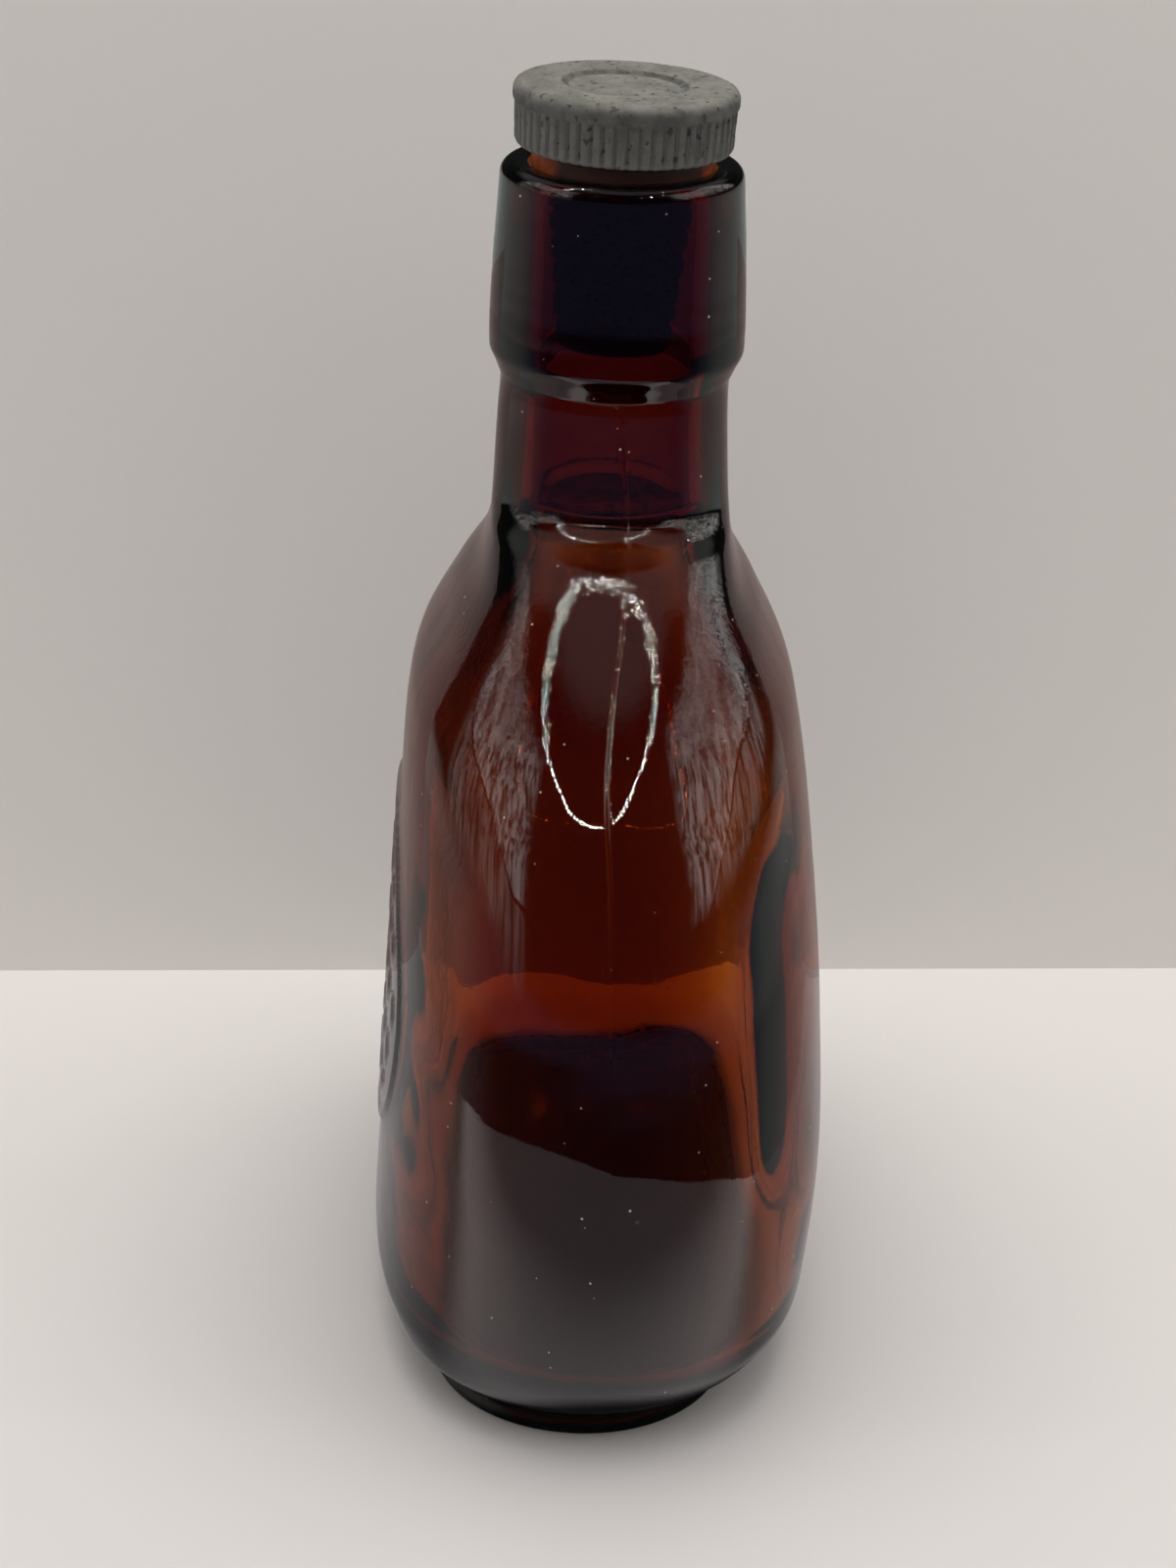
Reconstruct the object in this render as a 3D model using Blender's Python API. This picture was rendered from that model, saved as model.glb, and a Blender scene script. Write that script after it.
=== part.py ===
"""Flattened amber glass flask on an oval foot, closed by a ribbed screw stopper with a rubber ring.

The model is in metres, with the origin on the floor under the middle of the whole. The long side of
the foot runs along X, the front face looks to -Y and the mouth points up along Z. The sizes below are
in millimetres. The heights of the stopper and the ring are measured from the top of the lip.
"""

import math

import bmesh
import bpy

MM = 0.001

# The outside of the bottle by height: half its length along X and half its thickness along Y, and
# where its middle sits along Y. Hand finishing left the neck, the body and the foot about a millimetre
# out of line.
HALF_LENGTH = (
    (0.0, 56.0), (2.4, 56.1), (7.0, 60.4), (11.0, 61.7), (35.0, 63.0), (60.0, 60.8), (77.0, 56.6),
    (86.0, 53.3), (92.0, 49.7), (105.0, 39.2), (116.5, 24.5), (118.5, 19.8), (121.0, 17.0),
    (137.0, 15.8),
)
HALF_THICKNESS = (
    (0.0, 22.2), (2.4, 22.3), (7.0, 30.2), (11.0, 32.4), (25.0, 32.6), (50.0, 31.4), (78.0, 29.3),
    (93.0, 27.4), (104.0, 22.3), (111.5, 18.1), (117.5, 16.8), (137.0, 15.8),
)
MIDDLE_LINE = (
    (0.0, -2.3), (2.4, -2.3), (11.0, -0.6), (33.0, 0.5), (50.0, 0.4), (78.0, -0.5), (95.0, -1.2),
    (111.5, -0.85), (131.0, -1.05), (140.0, -0.8),
)
# How blunt the two ends are: their radius as a share of half the thickness, 1 where the neck is round.
END_SHARE = ((0.0, 0.93), (10.0, 0.84), (95.0, 0.85), (110.0, 0.90), (121.0, 1.0))
WALL = ((9.0, 5.2), (16.0, 4.2), (60.0, 3.7), (88.0, 4.2), (108.0, 5.7), (122.0, 5.2), (137.0, 5.0))

FLOOR_TOP = 8.0
FLOOR_ROUNDING = 7.0
FOOT_RING_WIDTH = 5.5
FOOT_RECESS = 1.4

# The thick finish round the mouth.
LIP_HEIGHT = 167.0
LIP_RADIUS = 16.7
LIP_ROUNDING = 1.9
FINISH = ((137.3, 15.85), (139.2, 16.65), (141.6, 17.6), (144.5, 17.65), (165.1, LIP_RADIUS))
SEAT_RADIUS = 12.8
SEAT_DEPTH = 2.1
BORE_RADIUS = 10.65

SEAM_HEIGHT = 0.25
SEAM_HALF_ANGLE = math.radians(1.7)
PANEL_HEIGHT = 0.35
PANEL_MIDDLE = 50.0
PANEL_HALF_LENGTH = 38.0
PANEL_HALF_HEIGHT = 29.0

# Where the rows of faces lie: from height, to height, number of steps.
FOOT_STEPS = ((0.0, 2.4, 1), (2.4, 12.0, 6))
OUTSIDE_STEPS = ((12.0, 88.0, 9), (88.0, 112.0, 7), (112.0, 122.0, 8), (122.0, 135.5, 3))
FINISH_STEPS = ((137.3, 144.5, 6), (144.5, 165.1, 3))
INSIDE_STEPS = ((135.0, 122.0, 2), (122.0, 110.0, 5), (110.0, 88.0, 5), (88.0, 20.0, 6))
QUARTER_COLUMNS = 10

STOPPER_TILT = math.radians(-1.3)
HEAD_BOTTOM = 2.0
HEAD_TOP = 10.6
RIM_BOTTOM = 8.1
RIM_RADIUS = 15.35
RIB_COUNT = 56
RIB_RADIUS = 15.1
RIB_DEPTH = 0.5
RECESS_RADIUS = 8.2
RECESS_DEPTH = 0.6

SHANK_COLUMNS = 28
SHANK_NECK_RADIUS = 9.4
SHANK_TAPER = ((-25.0, 8.2), (-20.0, 8.5), (-3.0, 10.2))
THREAD_TOP = -3.4
THREAD_BOTTOM = -20.2
THREAD_PITCH = 3.6
THREAD_DEPTH = 0.9
THREAD_STEPS = 22
TIP_OUTLINE = ((-20.8, 7.3), (-21.8, 7.3), (-22.3, 8.0), (-23.8, 8.1), (-24.7, 7.5), (-25.0, 6.4))

RING_INNER_RADIUS = 9.75
RING_OUTER_RADIUS = 12.4
RING_BOTTOM = -1.5
RING_TOP = 1.6
RING_ROUNDING = 0.45
RING_COLUMNS = 40


def curve_value(knots, at):
    """Value of a smooth curve through the knots that never overshoots them."""
    if at <= knots[0][0]:
        return knots[0][1]
    if at >= knots[-1][0]:
        return knots[-1][1]
    slopes = [(y1 - y0) / (x1 - x0) for (x0, y0), (x1, y1) in zip(knots, knots[1:])]
    tangents = [slopes[0]]
    for before, after in zip(slopes, slopes[1:]):
        same_way = before * after > 0.0
        tangents.append(2.0 * before * after / (before + after) if same_way else 0.0)
    tangents.append(slopes[-1])
    index = next(i for i, (x, _) in enumerate(knots[1:]) if at <= x)
    (x0, y0), (x1, y1) = knots[index], knots[index + 1]
    width = x1 - x0
    t = (at - x0) / width
    rest = 1.0 - t
    bend = width * t * rest * (tangents[index] * rest - tangents[index + 1] * t)
    return y0 * (1.0 + 2.0 * t) * rest * rest + y1 * t * t * (3.0 - 2.0 * t) + bend


def smooth_step(value):
    value = min(max(value, 0.0), 1.0)
    return value * value * (3.0 - 2.0 * value)


def heights_of(stretches):
    """Heights along the stretches, in order, each end given once."""
    heights = [stretches[0][0]]
    for start, end, steps in stretches:
        heights += [start + (end - start) * step / steps for step in range(1, steps + 1)]
    return heights


def arc(middle_radius, middle_height, rounding, start, end, steps):
    """Points (height, radius) of a round corner, its angles in degrees from outwards to upwards."""
    points = []
    for step in range(steps + 1):
        turn = math.radians(start + (end - start) * step / steps)
        points.append(
            (middle_height + rounding * math.sin(turn), middle_radius + rounding * math.cos(turn))
        )
    return points


def level_sizes(height):
    """Half length and thickness of a level's inner ellipse, its end radius and its middle along Y."""
    half_thickness = curve_value(HALF_THICKNESS, height)
    half_length = max(curve_value(HALF_LENGTH, height), half_thickness)
    end_radius = half_thickness * curve_value(END_SHARE, height)
    middle = curve_value(MIDDLE_LINE, height)
    return half_length - end_radius, half_thickness - end_radius, end_radius, middle


def level_point(sizes, angle):
    """Point of a level whose outward direction is the angle: an ellipse grown by the end radius."""
    length, thickness, end_radius, middle = sizes
    along = math.cos(angle)
    across = math.sin(angle)
    reach = max(math.hypot(length * along, thickness * across), 1e-9)
    return (
        length * length * along / reach + end_radius * along,
        thickness * thickness * across / reach + end_radius * across + middle,
    )


def column_angles():
    """Directions that space the columns evenly round the body, with narrow ones beside each seam."""
    sizes = level_sizes(40.0)
    directions = [0.5 * math.pi * step / 900 for step in range(901)]
    points = [level_point(sizes, direction) for direction in directions]
    lengths = [0.0]
    for before, after in zip(points, points[1:]):
        lengths.append(lengths[-1] + math.dist(before, after))
    quarter = [0.0, SEAM_HALF_ANGLE]
    for column in range(1, QUARTER_COLUMNS):
        wanted = lengths[-1] * column / QUARTER_COLUMNS
        quarter.append(next(d for d, length in zip(directions, lengths) if length >= wanted))
    back_half = quarter + [0.5 * math.pi] + [math.pi - angle for angle in reversed(quarter)]
    front_half = [2.0 * math.pi - angle for angle in reversed(back_half[1:-1])]
    return back_half + front_half


def relief(angle, along, height):
    """Height of the seams on the two narrow sides and of the low oval panel on the front face."""
    if abs(math.sin(angle)) < 1e-6 and height > 4.0:
        return SEAM_HEIGHT
    if math.sin(angle) > -0.5:
        return 0.0
    from_middle = math.hypot(
        along / PANEL_HALF_LENGTH, (height - PANEL_MIDDLE) / PANEL_HALF_HEIGHT
    )
    return PANEL_HEIGHT * smooth_step(4.0 * (1.0 - from_middle))


def outside_ring(height, angles):
    sizes = level_sizes(height)
    ring = []
    for angle in angles:
        x, y = level_point(sizes, angle)
        raised = relief(angle, x, height)
        ring.append((x + raised * math.cos(angle), y + raised * math.sin(angle), height))
    return ring


def inset_ring(level, inset, height, angles):
    """Outline of a level moved inwards, placed at another height. Its ends keep a small radius."""
    length, thickness, end_radius, middle = level_sizes(level)
    kept_radius = max(end_radius - inset, 2.0)
    length -= kept_radius - (end_radius - inset)
    sizes = (length, min(thickness, length), kept_radius, middle)
    return [(*level_point(sizes, angle), height) for angle in angles]


def round_ring(radius, height, angles, middle=0.0):
    return [(radius * math.cos(a), radius * math.sin(a) + middle, height) for a in angles]


def even_angles(count):
    return [2.0 * math.pi * index / count for index in range(count)]


def mouth_outline():
    """Outline (height, radius) of the finish: up its outside, over the lip, and down to the bore."""
    outline = [(height, curve_value(FINISH, height)) for height in heights_of(FINISH_STEPS)]
    outline += arc(
        LIP_RADIUS - LIP_ROUNDING, LIP_HEIGHT - LIP_ROUNDING, LIP_ROUNDING, 22.0, 90.0, 3
    )
    outline += arc(SEAT_RADIUS + 0.6, LIP_HEIGHT - 0.6, 0.6, 90.0, 180.0, 2)
    seat_height = LIP_HEIGHT - SEAT_DEPTH
    outline += [(seat_height, SEAT_RADIUS)]
    outline += arc(BORE_RADIUS + 0.4, seat_height - 0.4, 0.4, 90.0, 180.0, 2)
    outline += [(150.0, BORE_RADIUS), (138.0, BORE_RADIUS)]
    return outline


def bottle_rings():
    """Every level in order: under the foot, outside, lip, bore, inside and floor."""
    angles = column_angles()
    rings = [
        inset_ring(0.0, FOOT_RING_WIDTH + 7.0, FOOT_RECESS, angles),
        inset_ring(0.0, FOOT_RING_WIDTH + 1.4, 0.75 * FOOT_RECESS, angles),
        inset_ring(0.0, FOOT_RING_WIDTH, 0.0, angles),
    ]
    for height in heights_of(FOOT_STEPS + OUTSIDE_STEPS):
        rings.append(outside_ring(height, angles))
    for height, radius in mouth_outline():
        rings.append(round_ring(radius, height, angles, curve_value(MIDDLE_LINE, height)))
    for height in heights_of(INSIDE_STEPS):
        rings.append(inset_ring(height, curve_value(WALL, height), height, angles))
    floor_level = FLOOR_TOP + FLOOR_ROUNDING
    floor_wall = curve_value(WALL, floor_level)
    for degrees in (15.0, 40.0, 65.0, 90.0):
        turn = math.radians(degrees)
        inset = floor_wall + FLOOR_ROUNDING * (1.0 - math.cos(turn))
        rings.append(
            inset_ring(floor_level, inset, floor_level - FLOOR_ROUNDING * math.sin(turn), angles)
        )
    return rings


def rib_ring(radius, depth, height):
    """Round ring with a crest and a groove for each rib of the head."""
    ring = []
    for index, angle in enumerate(even_angles(2 * RIB_COUNT)):
        reach = radius - depth * (index % 2)
        ring.append((reach * math.cos(angle), reach * math.sin(angle), height))
    return ring


def thread_radius(height, angle):
    """Radius of the tapered screw: a helical ridge that fades out at both of its ends."""
    turn = (height / THREAD_PITCH - angle / (2.0 * math.pi)) % 1.0
    valley = smooth_step(1.0 - abs(turn - 0.5) / 0.32)
    fade = smooth_step((height - THREAD_BOTTOM) / 2.0) * smooth_step((THREAD_TOP - height) / 1.5)
    return curve_value(SHANK_TAPER, height) - THREAD_DEPTH * valley * fade


def stopper_rings():
    """From the recess in the top, over the rim and down the ribs, to the tip of the shank."""
    top = HEAD_TOP
    rings = [
        rib_ring(RECESS_RADIUS - 0.5, 0.0, top - RECESS_DEPTH),
        rib_ring(RECESS_RADIUS, 0.0, top - 0.1),
        rib_ring(RIM_RADIUS - 1.9, 0.0, top),
        rib_ring(RIM_RADIUS - 0.8, 0.0, top - 0.2),
        rib_ring(RIM_RADIUS - 0.2, 0.0, top - 0.7),
        rib_ring(RIM_RADIUS, 0.0, top - 1.4),
        rib_ring(RIM_RADIUS, 0.0, RIM_BOTTOM),
        rib_ring(RIB_RADIUS, 0.0, RIM_BOTTOM - 0.25),
        rib_ring(RIB_RADIUS, RIB_DEPTH, RIM_BOTTOM - 0.5),
        rib_ring(RIB_RADIUS - 0.25, RIB_DEPTH, HEAD_BOTTOM + 0.8),
        rib_ring(RIB_RADIUS - 0.9, 0.5 * RIB_DEPTH, HEAD_BOTTOM),
    ]
    angles = even_angles(SHANK_COLUMNS)
    rings.append(round_ring(SHANK_NECK_RADIUS + 0.3, HEAD_BOTTOM, angles))
    rings.append(round_ring(SHANK_NECK_RADIUS, HEAD_BOTTOM - 0.3, angles))
    rings.append(round_ring(SHANK_NECK_RADIUS, THREAD_TOP + 0.6, angles))
    for height in heights_of(((THREAD_TOP, THREAD_BOTTOM, THREAD_STEPS),)):
        ring = []
        for angle in angles:
            reach = thread_radius(height, angle)
            ring.append((reach * math.cos(angle), reach * math.sin(angle), height))
        rings.append(ring)
    for height, radius in TIP_OUTLINE:
        rings.append(round_ring(radius, height, angles))
    return rings


def rubber_rings():
    """Round the washer's cross-section: bottom, outside, top and back down the inside."""
    rounding = RING_ROUNDING
    inner = RING_INNER_RADIUS + rounding
    outer = RING_OUTER_RADIUS - rounding
    outline = arc(inner, RING_BOTTOM + rounding, rounding, 180.0, 270.0, 1)
    outline += arc(outer, RING_BOTTOM + rounding, rounding, -90.0, 0.0, 1)
    outline += arc(outer, RING_TOP - rounding, rounding, 0.0, 90.0, 1)
    outline += arc(inner, RING_TOP - rounding, rounding, 90.0, 180.0, 1)
    angles = even_angles(RING_COLUMNS)
    return [round_ring(radius, height, angles) for height, radius in outline]


def add_band(mesh, first, second):
    """Faces between two rings. Where the second has fewer points, each takes its share of the first."""
    share = len(first) // len(second)
    for index, corner in enumerate(second):
        next_corner = second[(index + 1) % len(second)]
        start = index * share
        middle = start + share // 2
        for step in range(start, middle):
            mesh.faces.new((first[step], first[step + 1], corner))
        mesh.faces.new((first[middle], first[(middle + 1) % len(first)], next_corner, corner))
        for step in range(middle + 1, start + share):
            mesh.faces.new((first[step], first[(step + 1) % len(first)], next_corner))


def solid_of_rings(name, rings, material, is_loop=False):
    """One closed body through the rings, capped at both ends unless they join up in a loop."""
    mesh = bmesh.new()
    loops = [[mesh.verts.new([size * MM for size in point]) for point in ring] for ring in rings]
    for first, second in zip(loops, loops[1:]):
        add_band(mesh, first, second)
    if is_loop:
        add_band(mesh, loops[-1], loops[0])
    else:
        mesh.faces.new(reversed(loops[0]))
        mesh.faces.new(loops[-1])
    bmesh.ops.recalc_face_normals(mesh, faces=mesh.faces)
    data = bpy.data.meshes.new(name)
    mesh.to_mesh(data)
    mesh.free()
    data.shade_smooth()
    data.set_sharp_from_angle(angle=math.radians(40.0))
    data.materials.append(material)
    solid = bpy.data.objects.new(name, data)
    bpy.context.scene.collection.objects.link(solid)
    return solid


def make_material(name, color, roughness, transmission=0.0):
    material = bpy.data.materials.new(name)
    material.use_nodes = True
    shader = material.node_tree.nodes["Principled BSDF"]
    shader.inputs["Base Color"].default_value = (*color, 1.0)
    shader.inputs["Roughness"].default_value = roughness
    shader.inputs["Metallic"].default_value = 0.0
    shader.inputs["Transmission Weight"].default_value = transmission
    return material


def make_bottle():
    glass = make_material("amber glass", (0.30, 0.10, 0.025), 0.04, transmission=1.0)
    return solid_of_rings("bottle", bottle_rings(), glass)


def make_mouth():
    """Empty on the middle of the lip. What closes the mouth hangs from it, leaning a little."""
    mouth = bpy.data.objects.new("mouth", None)
    mouth.location = (0.0, curve_value(MIDDLE_LINE, LIP_HEIGHT) * MM, LIP_HEIGHT * MM)
    mouth.rotation_euler = (STOPPER_TILT, 0.0, 0.0)
    bpy.context.scene.collection.objects.link(mouth)
    return mouth


def make_stopper(mouth):
    hard_rubber = make_material("grey hard rubber", (0.20, 0.20, 0.18), 0.55)
    stopper = solid_of_rings("stopper", stopper_rings(), hard_rubber)
    stopper.parent = mouth


def make_rubber_ring(mouth):
    orange_rubber = make_material("orange rubber", (0.55, 0.14, 0.03), 0.6)
    ring = solid_of_rings("rubber_ring", rubber_rings(), orange_rubber, is_loop=True)
    ring.parent = mouth


for item in list(bpy.data.objects):
    bpy.data.objects.remove(item)

make_bottle()
mouth_empty = make_mouth()
make_stopper(mouth_empty)
make_rubber_ring(mouth_empty)
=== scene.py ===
"""Looks of the stoppered amber flask: the glass, the stopper, the rubber ring, the floor, the light.

Sizes are in millimetres and repeat the part's own formulas at a finer resolution. The heights of the
stopper and the ring are measured from the top of the lip.
"""

import math

import bmesh
import bpy
from mathutils import Matrix, Vector, noise


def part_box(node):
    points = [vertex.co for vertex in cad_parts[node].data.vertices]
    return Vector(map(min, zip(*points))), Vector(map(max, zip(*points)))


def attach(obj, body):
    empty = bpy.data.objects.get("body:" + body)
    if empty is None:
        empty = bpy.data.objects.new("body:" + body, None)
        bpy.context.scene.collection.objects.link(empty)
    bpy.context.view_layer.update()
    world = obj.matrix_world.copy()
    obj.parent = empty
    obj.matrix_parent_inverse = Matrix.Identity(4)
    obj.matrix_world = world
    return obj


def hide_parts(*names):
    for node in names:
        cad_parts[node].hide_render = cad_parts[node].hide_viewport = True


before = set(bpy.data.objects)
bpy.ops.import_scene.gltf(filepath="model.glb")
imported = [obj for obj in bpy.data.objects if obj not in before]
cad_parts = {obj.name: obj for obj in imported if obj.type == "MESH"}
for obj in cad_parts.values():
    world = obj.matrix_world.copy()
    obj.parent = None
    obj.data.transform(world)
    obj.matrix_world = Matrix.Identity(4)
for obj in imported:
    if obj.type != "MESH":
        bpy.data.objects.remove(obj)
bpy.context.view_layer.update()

MM = 0.001

# The outside of the bottle by height: half its length along X, half its thickness along Y, and where
# its middle sits along Y.
HALF_LENGTH = (
    (0.0, 56.0), (2.4, 56.1), (7.0, 60.4), (11.0, 61.7), (35.0, 63.0), (60.0, 60.8), (77.0, 56.6),
    (86.0, 53.3), (92.0, 49.7), (105.0, 39.2), (116.5, 24.5), (118.5, 19.8), (121.0, 17.0),
    (137.0, 15.8),
)
HALF_THICKNESS = (
    (0.0, 22.2), (2.4, 22.3), (7.0, 30.2), (11.0, 32.4), (25.0, 32.6), (50.0, 31.4), (78.0, 29.3),
    (93.0, 27.4), (104.0, 22.3), (111.5, 18.1), (117.5, 16.8), (137.0, 15.8),
)
MIDDLE_LINE = (
    (0.0, -2.3), (2.4, -2.3), (11.0, -0.6), (33.0, 0.5), (50.0, 0.4), (78.0, -0.5), (95.0, -1.2),
    (111.5, -0.85), (131.0, -1.05), (140.0, -0.8),
)
# The radius of the narrow ends as a share of half the thickness, and the wall's thickness, by height.
END_SHARE = ((0.0, 0.93), (10.0, 0.84), (95.0, 0.85), (110.0, 0.90), (121.0, 1.0))
WALL = ((9.0, 5.2), (16.0, 4.2), (60.0, 3.7), (88.0, 4.2), (108.0, 5.7), (122.0, 5.2), (137.0, 5.0))

# A thick place in the wall, which shows as a dark upright patch.
THICK_ANGLE = math.radians(68.0)
THICK_HALF_ANGLE = math.radians(17.0)
THICK_SHARE = 0.6
THICK_HEIGHTS = (28.0, 88.0)

# The floor inside, and the foot with the hollow under it.
FLOOR_TOP = 6.5
FLOOR_ROUNDING = 8.5
FOOT_RING_WIDTH = 5.5
FOOT_RECESS = 1.4
FOOT_ROUNDING = 0.9

# The mouth: the lip, the thick finish outside, the seat and the bore.
LIP_HEIGHT = 167.0
LIP_RADIUS = 16.7
LIP_ROUNDING = 1.9
FINISH_BOTTOM = 137.3
FINISH_SWELL = 144.5
FINISH_TOP = LIP_HEIGHT - LIP_ROUNDING
FINISH = (
    (FINISH_BOTTOM, 15.85), (139.2, 16.65), (141.6, 17.6), (FINISH_SWELL, 17.65),
    (FINISH_TOP, LIP_RADIUS),
)
SEAT_RADIUS = 12.8
SEAT_DEPTH = 2.1
SEAT_EDGE_ROUNDING = 0.6
BORE_RADIUS = 10.65
BORE_EDGE_ROUNDING = 0.4
BORE_HEIGHTS = (163.0, 138.0)

# The seams wander a little round the shoulder: height, offset along Y.
SEAM_LINE = ((85.0, 0.0), (95.0, -0.3), (104.0, 0.2), (112.0, 1.3), (118.0, 1.9), (137.0, 1.2))
SEAM_HEIGHT = 0.2
# Between these heights the seams wear away downwards.
SEAM_FADE = (70.0, 95.0)
SEAM_HALF_WIDTH = 0.45
SEAM_REACH = math.radians(16.0)

# The low oval panel on the front face, with its border and small lozenges.
PANEL_HEIGHT = 0.35
PANEL_MIDDLE = 50.0
PANEL_HALF_LENGTH = 38.0
PANEL_HALF_HEIGHT = 29.0
MOTIF_HEIGHT = 0.35
MOTIF_PITCH_X = 8.4
MOTIF_PITCH_Z = 8.0
MOTIF_HALF_LENGTH = 3.0
MOTIF_HALF_HEIGHT = 3.6
MOTIF_SHARE = 0.72
BORDER_SHARE = 0.84
BORDER_WIDTH_SHARE = 0.014

# The stopper's head, with its rim, ribs and dished top, and its threaded shank.
STOPPER_TILT = math.radians(-1.3)
HEAD_BOTTOM = 2.0
HEAD_TOP = 10.6
RIM_BOTTOM = 8.1
RIM_RADIUS = 15.35
RIM_ROUNDING = 1.3
RIB_COUNT = 56
RIB_RADIUS = 15.1
RIB_DEPTH = 0.5
RECESS_RADIUS = 8.2
RECESS_DEPTH = 0.6
SHANK_NECK_RADIUS = 9.4
SHANK_TAPER = ((-25.0, 8.2), (-20.0, 8.5), (-3.0, 10.2))
THREAD_TOP = -3.4
THREAD_BOTTOM = -20.2
THREAD_PITCH = 3.6
THREAD_DEPTH = 0.9
TIP_OUTLINE = ((-20.8, 7.3), (-21.8, 7.3), (-22.3, 8.0), (-23.8, 8.1), (-24.7, 7.5), (-25.0, 6.4))

# The rubber ring.
RING_INNER_RADIUS = 9.75
RING_OUTER_RADIUS = 12.4
RING_BOTTOM = -1.5
RING_TOP = 1.6
RING_ROUNDING = 0.45

# The camera: where it stands on the floor plan, how it is turned, and its lens.
CAMERA_DISTANCE = 467.0
CAMERA_HEIGHT = 277.0
CAMERA_PAN = 2.73
CAMERA_YAW = math.radians(1.5)
CAMERA_PITCH = math.radians(23.4)
CAMERA_ROLL = math.radians(1.9)
CAMERA_LENS = 80.1

# What the glass lets through, and how strongly it takes the rest.
AMBER_COLOUR = (0.772, 0.467, 0.0, 1.0)
AMBER_DENSITY = 900.0

# The studio.
LAMP_RING_CENTRE = (212.0, -42.0, 443.0)
LAMP_RING_RADIUS = 222.0
LAMP_COUNT = 96
LAMP_RADIUS = 2.6
LAMP_GLOW = 140.0
LAMP_COLOURS = (("warm", (1.0, 0.9, 0.62)), ("white", (1.0, 1.0, 1.0)), ("cool", (0.7, 0.82, 1.0)))
BACKDROP_X = -90.0
BACKDROP_SLOPE = math.tan(math.radians(3.0))
BACKDROP_REACH = 600.0
BACKDROP_HEIGHT = 420.0
FLOOR_REACH = 1500.0
# The sheet of paper that the glass reflects: rounded towards the camera, straight behind.
SHEET_CENTRE = (60.0, -18.0)
SHEET_LENGTH = 136.0
SHEET_HALF_WIDTH = 128.0
SHEET_LIFT = 0.05
# Half sizes of the oval round the foot where that sheet holds a painted contact shadow.
FOOT_SHADE_HALF_LENGTH = 62.0
FOOT_SHADE_HALF_WIDTH = 29.0
BACKDROP_SHEET_HEIGHT = 128.0
SOFT_BOX_PLACE = (-130.0, 0.0, 450.0)
SOFT_BOX_SIZE = 400.0
SOFT_BOX_POWER = 1.2
DOME_STRENGTH = 1.35


def curve_value(knots, at):
    """Value of a smooth curve through the knots that never overshoots them."""
    if at <= knots[0][0]:
        return knots[0][1]
    if at >= knots[-1][0]:
        return knots[-1][1]
    slopes = [(y1 - y0) / (x1 - x0) for (x0, y0), (x1, y1) in zip(knots, knots[1:])]
    tangents = [slopes[0]]
    for before, after in zip(slopes, slopes[1:]):
        same_way = before * after > 0.0
        tangents.append(2.0 * before * after / (before + after) if same_way else 0.0)
    tangents.append(slopes[-1])
    index = next(i for i, (x, _) in enumerate(knots[1:]) if at <= x)
    (x0, y0), (x1, y1) = knots[index], knots[index + 1]
    width = x1 - x0
    t = (at - x0) / width
    rest = 1.0 - t
    bend = width * t * rest * (tangents[index] * rest - tangents[index + 1] * t)
    return y0 * (1.0 + 2.0 * t) * rest * rest + y1 * t * t * (3.0 - 2.0 * t) + bend


def smooth_step(value):
    """Smooth rise from 0 to 1 as the value does."""
    value = min(max(value, 0.0), 1.0)
    return value * value * (3.0 - 2.0 * value)


def heights_of(stretches):
    """Heights along the stretches, in order, each end given once."""
    heights = [stretches[0][0]]
    for start, end, steps in stretches:
        heights += [start + (end - start) * step / steps for step in range(1, steps + 1)]
    return heights


def arc(middle_radius, middle_height, rounding, start, end, steps):
    """Points (height, radius) of a round corner, its angles in degrees from outwards to upwards."""
    points = []
    for step in range(steps + 1):
        turn = math.radians(start + (end - start) * step / steps)
        points.append(
            (middle_height + rounding * math.sin(turn), middle_radius + rounding * math.cos(turn))
        )
    return points


def level_sizes(height):
    """Half length and thickness of a level's inner ellipse, its end radius and its middle along Y."""
    half_thickness = curve_value(HALF_THICKNESS, height)
    half_length = max(curve_value(HALF_LENGTH, height), half_thickness)
    end_radius = half_thickness * curve_value(END_SHARE, height)
    middle = curve_value(MIDDLE_LINE, height)
    return half_length - end_radius, half_thickness - end_radius, end_radius, middle


def level_point(sizes, angle):
    """Point of a level whose outward direction is the angle: an ellipse grown by the end radius."""
    length, thickness, end_radius, middle = sizes
    along = math.cos(angle)
    across = math.sin(angle)
    reach = max(math.hypot(length * along, thickness * across), 1e-9)
    return (
        length * length * along / reach + end_radius * along,
        thickness * thickness * across / reach + end_radius * across + middle,
    )


def column_spacing(angle, x):
    """Wanted distance between columns: fine beside the seams and on the front panel."""
    from_seam = abs(math.sin(angle))
    if from_seam < 0.025:
        return 0.17
    if from_seam < 0.07:
        return 0.5
    if math.sin(angle) < -0.5 and abs(x) < PANEL_HALF_LENGTH:
        return 0.75
    return 1.6


def column_angles():
    """Directions of the columns, from one seam to the other and back."""
    sizes = level_sizes(40.0)
    fine_steps = 9000
    angles = []
    for start in (0.0, math.pi):
        directions = [start + math.pi * step / fine_steps for step in range(fine_steps + 1)]
        points = [level_point(sizes, direction) for direction in directions]
        sums = [0.0]
        for direction, before, after in zip(directions, points, points[1:]):
            sums.append(sums[-1] + math.dist(before, after) / column_spacing(direction, before[0]))
        count = round(sums[-1])
        step = 0
        for column in range(count):
            while sums[step] < sums[-1] * column / count:
                step += 1
            angles.append(directions[step])
    return angles


def seam_offset(angle, height, end_radius):
    """How far a column near a seam turns aside, so that the columns follow the wandering seam."""
    from_seam = (angle + math.pi / 2.0) % math.pi - math.pi / 2.0
    near = smooth_step(1.0 - abs(from_seam) / SEAM_REACH)
    side = 1.0 if math.cos(angle) > 0.0 else -1.0
    return side * near * curve_value(SEAM_LINE, height) / end_radius


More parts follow.
